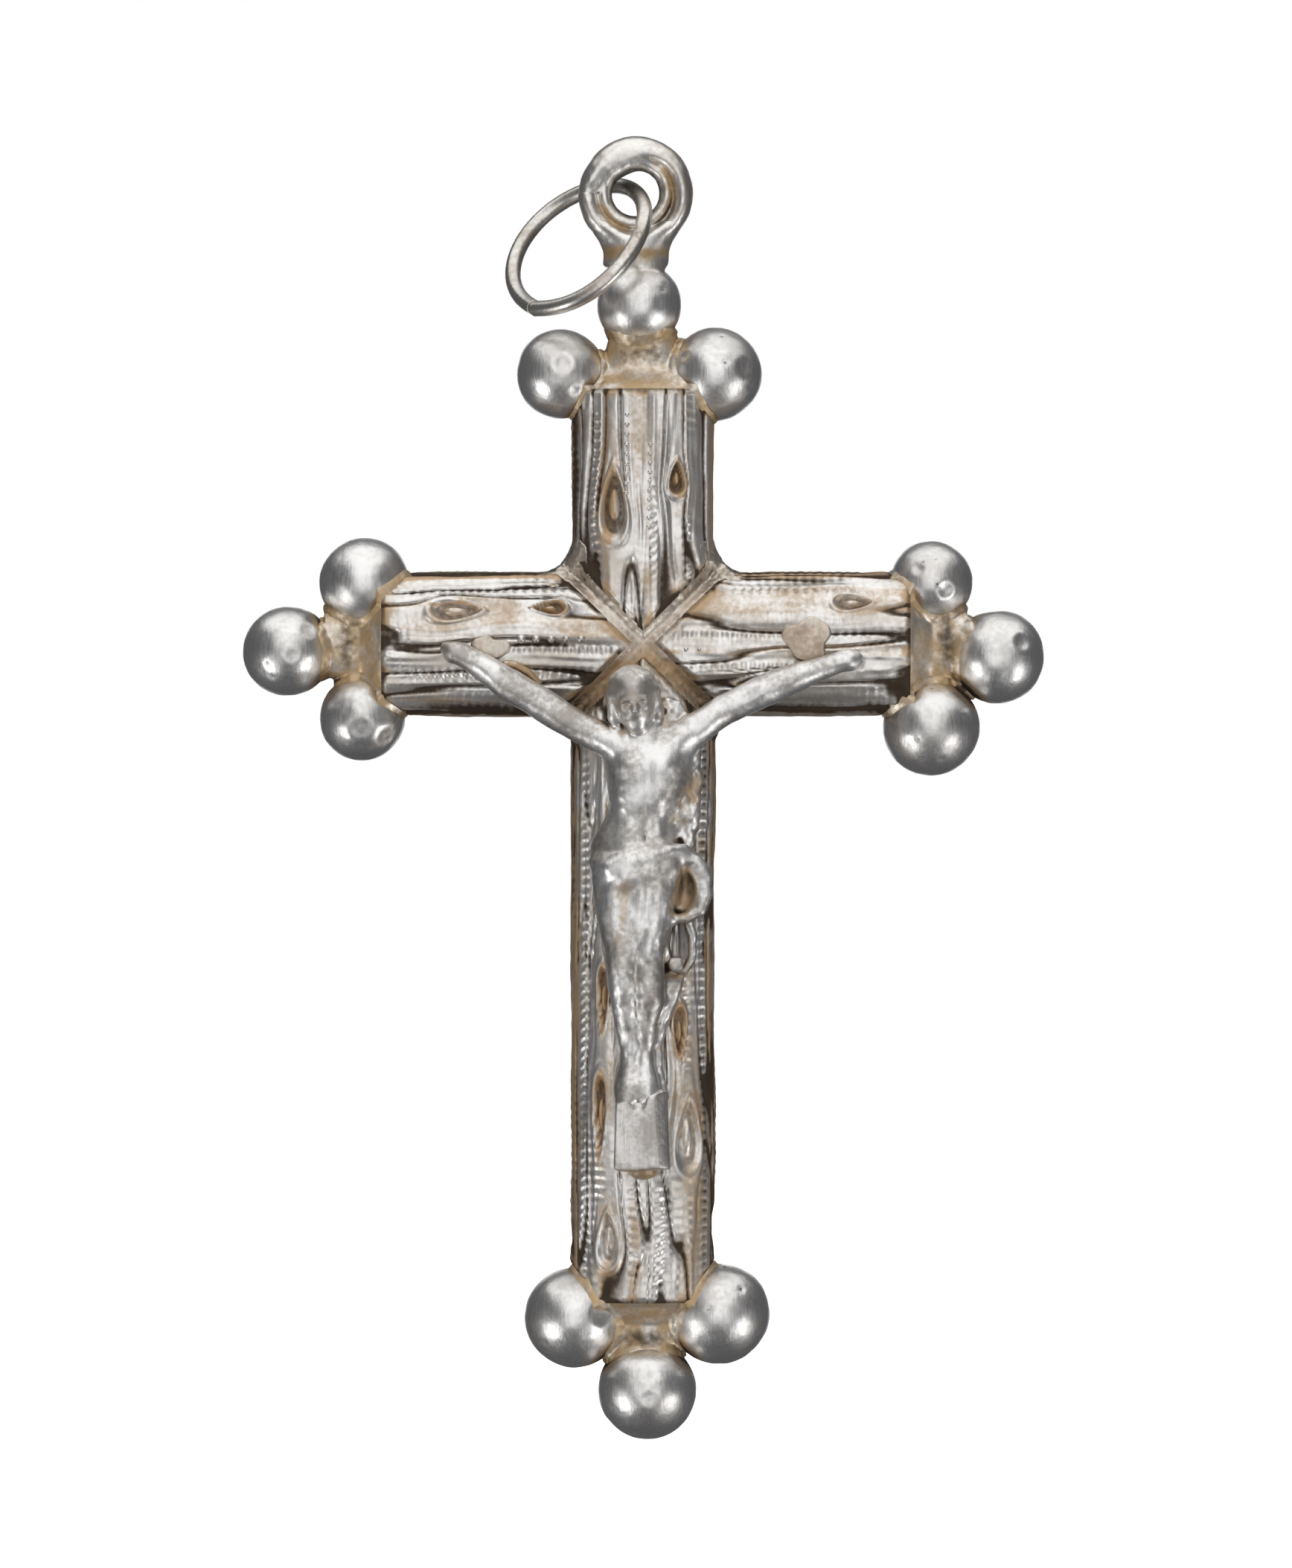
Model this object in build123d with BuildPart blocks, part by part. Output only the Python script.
from build123d import *
import os
from math import cos, degrees, radians, sin, sqrt

# Small silver crucifix pendant: four rolled tubes mitred at a crossing, an end cap and three
# hollow beads on each arm, a cast figure on the front, and a bail with a loose jump ring.
# Millimetres. The origin is the centre of the bail's eye, +Z is up along the upright,
# the figure's side faces -Y and +X is to the right as the front is seen.

# Arms
arm_width = 7.7
arm_depth = 5.5
arm_wall = 0.5
upper_reach = 13.6  # from the middle of the crossing to the end of the tube
lower_reach = 35.3
left_reach = 14.0
right_reach = 14.3
braze_gap = 0.02  # left for solder wherever curved pieces seat on each other

# Mitre seam at the crossing
seam_width = 0.86
seam_recess = 0.12  # below the tubes' outer face

# End caps
cap_length = 3.1
cap_nose_width = 3.4
cap_nose_depth = 3.0

# Beads
bead_wall = 0.4
bead_vent_radius = 0.3
# One bead sits in each cap's nose: its radius, how deep it is seated, and how far it
# stands off the arm's middle line, clockwise as the front is seen
end_beads = {
    "upper": ("top_bead", 2.25, 0.75, -0.2),
    "right": ("right_end_bead", 2.5, 0.85, 0.7),
    "lower": ("bottom_bead", 2.65, 0.95, -0.2),
    "left": ("left_end_bead", 2.4, 0.4, -0.4),
}
# Two beads sit on each tube's end corners, the anticlockwise one first: its radius, the gap
# left between it and the end bead, and how far its centre stands outside the tube's side
side_beads = {
    "upper": (("top_left_bead", 2.4, 0.9473, 0.55), ("top_right_bead", 2.5, 0.7727, 0.05)),
    "right": (("right_upper_bead", 2.2, 0.6481, -0.55), ("right_lower_bead", 2.6, 0.1002, 0.65)),
    "lower": (("bottom_right_bead", 2.7, 0.3086, 0.25), ("bottom_left_bead", 2.7, 0.1654, -0.15)),
    "left": (("left_lower_bead", 2.3, 0.6814, 0.15), ("left_upper_bead", 2.4, 0.7227, -0.55)),
}

# Bail and its neck
eye_radius = 1.25
bail_lip_width = 0.6  # the low lip round the eye
bail_lip_depth = 1.3
bail_rim_width = 1.25  # the thick rim outside the lip
bail_depth = 1.9
neck_height = 0.65  # between the top bead and the bail
neck_width = 3.8
neck_depth = 2.7
neck_skirt = 1.15  # how far the neck reaches down over the bead
neck_skirt_inset = 0.05  # of the skirt's edge from the bead's widest line
neck_saddle = 0.75  # how far the neck reaches up beside the bail

# Jump ring
ring_radius = 4.1  # of the wire's centre line
ring_wire = 0.85
ring_lean = 41  # degrees, slope of the ring's long side as the front is seen
ring_turn = 52  # degrees, how far the ring is turned about that long side
ring_seat = (0, 0, -0.1)  # where the wire passes through the eye
ring_split_at = 202  # degrees round the ring from the eye
ring_split = 0.12

# Cast figure, in across and up from the middle of the crossing
chest_depth = 2.5
head_middle = (-0.6, -2.7)
head_radius = 1.5
throat = (0.0, -5.4)
left_shoulder = (-2.0, -5.1)
left_elbow = (-6.1, -3.3)
left_hand = (-10.4, -0.3)
right_shoulder = (2.3, -5.0)
right_elbow = (5.7, -3.1)
right_hand = (11.4, -0.8)
cloth_knot = (2.7, -11.9)
cloth_end = (3.2, -14.4)
shoulder_radius = 0.95
elbow_radius = 0.68
hand_radius = 0.5
# height, middle across, width, and depth as a share of the chest's
trunk_levels = (
    (-4.3, 0.1, 4.9, 0.72),
    (-6.6, 0.1, 5.1, 1.0),
    (-9.6, 0.0, 4.0, 0.8),
    (-11.6, 0.1, 5.3, 0.95),
    (-14.0, 0.0, 4.9, 1.0),
)
leg_levels = (
    (-13.9, 0.0, 4.4, 1.0),
    (-16.5, 0.0, 3.3, 1.05),
    (-18.6, 0.0, 3.2, 1.1),
    (-21.6, -0.1, 1.9, 0.8),
)
ankle_width = 2.5

# Fittings that hold the figure to the cross
pad_thickness = 0.3
left_pad_size = (2.1, 1.5)
left_pad_inboard = (2.1, 0.0)  # from the hand
right_pad_size = (2.5, 2.4)
right_pad_inboard = (2.6, 0.9)
foot_rest_top = -24.4
foot_rest_width = 3.0  # at the foot
foot_rest_height = 3.7
foot_rest_depth = 2.3
foot_rest_flare = 1.5  # degrees
foot_rest_rounding = 0.5
peg_radius = 0.38
peg_length = 1.5
peg_place = (1.75, -17.15)

# Values that follow from the sizes above
top_radius = end_beads["upper"][1]
top_ahead = cap_length + top_radius - end_beads["upper"][2]
bail_radius = eye_radius + bail_lip_width + bail_rim_width
crossing_drop = upper_reach + top_ahead + top_radius + neck_height + bail_radius
crossing_shift = -2 * end_beads["upper"][3]
front_y = -arm_depth / 2
back_y = front_y - braze_gap
arms = {
    "upper": (0, upper_reach),
    "right": (90, right_reach),
    "lower": (180, lower_reach),
    "left": (270, left_reach),
}


def place(x, y, z):
    """A point given from the middle of the crossing."""
    return Vector(crossing_shift + x, y, z - crossing_drop)


def front_plane(x, y, z):
    """An upright plane that faces the front, at a point given from the crossing."""
    return Plane(place(x, y, z), x_dir=(1, 0, 0), z_dir=(0, -1, 0))


def level_plane(x, y, z):
    """A level plane at a point given from the crossing."""
    return Plane(place(x, y, z), x_dir=(1, 0, 0), z_dir=(0, 0, 1))


def arm_plane(arm, along=0):
    """The plane across an arm, with its x axis on the arm's clockwise side and y to the back."""
    turn = radians(arms[arm][0])
    outwards = Vector(sin(turn), 0, cos(turn))
    return Plane(place(0, 0, 0) + outwards * along, x_dir=(cos(turn), 0, -sin(turn)), z_dir=outwards)


def mitre_plane(turn, distance):
    """A plane through the crossing, facing a compass turn and moved that way by a distance."""
    angle = radians(turn)
    outwards = Vector(sin(angle), 0, cos(angle))
    return Plane(place(0, 0, 0) + outwards * distance, x_dir=(0, 1, 0), z_dir=outwards)


def arm_beads(arm):
    """The name, centre and radius of each of an arm's three beads."""
    end_name, end_radius, seated, end_across = end_beads[arm]
    end_ahead = cap_length + end_radius - seated
    spots = [(end_name, end_radius, end_ahead, end_across)]
    for side, (name, radius, gap, outside) in zip((-1, 1), side_beads[arm]):
        across = side * (arm_width / 2 + outside)
        apart = end_radius + radius + gap
        spots.append((name, radius, end_ahead - sqrt(apart**2 - (across - end_across) ** 2), across))
    found = []
    for name, radius, ahead, across in spots:
        across_plane = arm_plane(arm, arms[arm][1] + ahead)
        found.append((name, across_plane.from_local_coords(Vector(across, 0, 0)), radius))
    return found


def cut_bead_seats(arm):
    """Cope the part being built round an arm's beads."""
    for _, centre, radius in arm_beads(arm):
        with Locations(centre):
            Sphere(radius + braze_gap, mode=Mode.SUBTRACT)


def cut_arm_front(gap):
    """Clear the part being built from the round outside of the upright and the crossbar."""
    for arm in ("upper", "right"):
        with BuildSketch(arm_plane(arm)) as outline:
            Ellipse(arm_width / 2 + gap, arm_depth / 2 + gap)
        extrude(outline.sketch, amount=2 * lower_reach, both=True, mode=Mode.SUBTRACT)


def limb(start, end, start_radius, end_radius):
    """Add a tapered round limb with ball ends to the part being built."""
    run = end - start
    with Locations(Plane(start, z_dir=run)):
        Cone(start_radius, end_radius, run.length, align=(Align.CENTER, Align.CENTER, Align.MIN))
        Sphere(start_radius)
    with Locations(end):
        Sphere(end_radius)


def save(piece, name):
    piece.label = name
    export_step(piece, f"parts/{name}.step")


os.makedirs("parts", exist_ok=True)

# Arm tubes, mitred at the crossing and coped at the far end for the side beads
for arm, (turn, reach) in arms.items():
    with BuildPart() as tube:
        with BuildSketch(arm_plane(arm)):
            Ellipse(arm_width / 2, arm_depth / 2)
            Ellipse(arm_width / 2 - arm_wall, arm_depth / 2 - arm_wall, mode=Mode.SUBTRACT)
        extrude(amount=reach)
        split(bisect_by=mitre_plane(turn - 45, seam_width / 2), keep=Keep.TOP)
        split(bisect_by=mitre_plane(turn + 45, seam_width / 2), keep=Keep.TOP)
        cut_bead_seats(arm)
    save(tube.part, f"{arm}_arm_tube")

# Solder seam that fills the mitres, an X-shaped band round the front and the back
with BuildPart() as seam:
    for inset, mode in ((seam_recess, Mode.ADD), (arm_wall, Mode.SUBTRACT)):
        for arm in ("upper", "right"):
            with BuildSketch(arm_plane(arm)):
                Ellipse(arm_width / 2 - inset, arm_depth / 2 - inset)
            extrude(amount=arm_width, both=True, mode=mode)
    with BuildSketch(front_plane(0, 0, 0)):
        with Locations(Rotation(0, 0, 45), Rotation(0, 0, -45)):
            Rectangle(arm_width * 2, seam_width)
    extrude(amount=arm_depth, both=True, mode=Mode.INTERSECT)
save(seam.part, "crossing_seam")

# End caps, sloping from the tube's end down to the end bead
for arm, (_, reach) in arms.items():
    with BuildPart() as cap:
        with BuildSketch(arm_plane(arm, reach)):
            Ellipse(arm_width / 2, arm_depth / 2)
        with BuildSketch(arm_plane(arm, reach + cap_length)):
            Ellipse(cap_nose_width / 2, cap_nose_depth / 2)
        loft()
        cut_bead_seats(arm)
    save(cap.part, f"{arm}_end_cap")

# Hollow beads, each with a vent hole hidden against the cap it is soldered to
for arm, (_, reach) in arms.items():
    cap_middle = arm_plane(arm, reach + cap_length / 2).origin
    for name, centre, radius in arm_beads(arm):
        with BuildPart() as bead:
            with Locations(centre):
                Sphere(radius)
                Sphere(radius - bead_wall, mode=Mode.SUBTRACT)
            with BuildSketch(Plane(centre, z_dir=cap_middle - centre)):
                Circle(bead_vent_radius)
            extrude(amount=radius * 2, mode=Mode.SUBTRACT)
        save(bead.part, name)


def bail_section(grow):
    """The bail's section: a thick outer rim, and a lower lip that overlaps it round the eye."""
    lip_overlap = bail_lip_width / 3
    lip_half = (bail_lip_width + lip_overlap) / 2
    with Locations((bail_radius - bail_rim_width / 2, 0)):
        Ellipse(bail_rim_width / 2 + grow, bail_depth / 2 + grow)
    with Locations((eye_radius + lip_half, 0)):
        Ellipse(lip_half + grow, bail_lip_depth / 2 + grow)


# Bail, round about the eye's axis so that the ring turns freely in it
with BuildPart() as bail:
    with BuildSketch(Plane.XY):
        bail_section(0)
    revolve(axis=Axis.Y)
save(bail.part, "bail")

# Neck, a waisted collar that saddles the bail and wraps the top of the bead
waist_z = -bail_radius - neck_height / 2
skirt_z = -bail_radius - neck_height - neck_skirt
skirt_size = 2 * (top_radius - neck_skirt_inset)
with BuildPart() as neck:
    with BuildSketch(Plane.XY.offset(skirt_z)):
        with Locations((crossing_shift / 4, 0)):
            Circle(skirt_size / 2)
    for height in (waist_z, -bail_radius + neck_saddle):
        with BuildSketch(Plane.XY.offset(height)):
            Ellipse(neck_width / 2, neck_depth / 2)
    loft()
    with Locations(place(end_beads["upper"][3], 0, upper_reach + top_ahead)):
        Sphere(top_radius + braze_gap, mode=Mode.SUBTRACT)
    with BuildSketch(Plane.XY):
        bail_section(braze_gap)
    revolve(axis=Axis.Y, mode=Mode.SUBTRACT)
save(neck.part, "bail_neck")

# Jump ring, a split ring of round wire threaded through the eye
lean = radians(ring_lean)
turned = radians(ring_turn)
split_angle = radians(ring_split_at)
ring_long = Vector(cos(lean), 0, sin(lean))
ring_short = Vector(-sin(lean) * cos(turned), sin(turned), cos(lean) * cos(turned))
ring_normal = ring_long.cross(ring_short)
ring_centre = Vector(*ring_seat) - ring_long * ring_radius
split_arm = ring_long * cos(split_angle) + ring_short * sin(split_angle)
with BuildPart() as ring:
    with BuildSketch(Plane(ring_centre, x_dir=split_arm, z_dir=ring_normal.cross(split_arm))):
        with Locations((ring_radius, 0)):
            Circle(ring_wire / 2)
    revolve(
        axis=Axis(ring_centre, ring_normal),
        revolution_arc=360 - degrees(ring_split / ring_radius),
    )
save(ring.part, "jump_ring")

# Solder pads under the hands
pads = {}
for name, hand, inboard, side, size in (
    ("left_hand_pad", left_hand, left_pad_inboard, 1, left_pad_size),
    ("right_hand_pad", right_hand, right_pad_inboard, -1, right_pad_size),
):
    pads[name] = (hand[0] + side * inboard[0], hand[1] + inboard[1], size)
for name, (x, z, (width, height)) in pads.items():
    with BuildPart() as pad:
        with BuildSketch(front_plane(x, 0, z)):
            Ellipse(width / 2, height / 2)
        extrude(amount=arm_depth / 2 + pad_thickness)
        cut_arm_front(braze_gap)
    save(pad.part, name)

# Foot rest, a flared block soldered to the lower tube
with BuildPart() as foot_rest:
    with BuildSketch(front_plane(0, 0, foot_rest_top - foot_rest_height / 2)):
        Trapezoid(foot_rest_width, foot_rest_height, 90 - foot_rest_flare)
    extrude(amount=arm_depth / 2 + foot_rest_depth)
    fillet(foot_rest.edges().filter_by(Axis.Y).group_by(Axis.Z)[0], foot_rest_rounding)
    cut_arm_front(braze_gap)
save(foot_rest.part, "foot_rest")

# Peg that pins the figure's cloth to the lower tube
with BuildPart() as peg:
    with BuildSketch(front_plane(peg_place[0], 0, peg_place[1])):
        Circle(peg_radius)
    extrude(amount=arm_depth / 2 + peg_length)
    cut_arm_front(braze_gap)
save(peg.part, "fixing_peg")

# Cast figure: head, trunk, arms, cloth and legs in one flat-backed casting
with BuildPart() as corpus:
    ankle_level = (foot_rest_top + braze_gap, -0.1, ankle_width, 0.7)
    for levels in (trunk_levels, (*leg_levels, ankle_level)):
        for height, across, width, share in levels:
            with BuildSketch(level_plane(across, back_y, height)):
                Ellipse(width / 2, chest_depth * share)
        loft()
    head_y = back_y - chest_depth / 2
    with Locations(place(head_middle[0], head_y, head_middle[1])):
        Sphere(head_radius)
    limb(
        place(head_middle[0], head_y + head_radius / 4, head_middle[1] - head_radius / 3),
        place(throat[0], head_y + head_radius / 4, throat[1]),
        head_radius * 0.7,
        head_radius * 0.75,
    )
    arm_y = back_y - elbow_radius * 0.7
    for shoulder, elbow, hand in (
        (left_shoulder, left_elbow, left_hand),
        (right_shoulder, right_elbow, right_hand),
    ):
        shoulder_point = place(shoulder[0], arm_y - shoulder_radius / 4, shoulder[1])
        elbow_point = place(elbow[0], arm_y, elbow[1])
        hand_point = place(hand[0], arm_y - pad_thickness, hand[1])
        limb(shoulder_point, elbow_point, shoulder_radius, elbow_radius)
        limb(elbow_point, hand_point, elbow_radius, hand_radius)
    limb(
        place(cloth_knot[0], arm_y, cloth_knot[1]),
        place(cloth_end[0], arm_y, cloth_end[1]),
        elbow_radius,
        hand_radius,
    )
    split(bisect_by=front_plane(0, back_y, 0), keep=Keep.TOP)
    for x, z, (width, height) in pads.values():
        with BuildSketch(front_plane(x, back_y, z)):
            Ellipse(width / 2 + braze_gap, height / 2 + braze_gap)
        extrude(amount=pad_thickness, mode=Mode.SUBTRACT)
    with BuildSketch(front_plane(peg_place[0], 0, peg_place[1])):
        Circle(peg_radius + braze_gap)
    extrude(amount=arm_depth, mode=Mode.SUBTRACT)
save(corpus.part, "corpus")
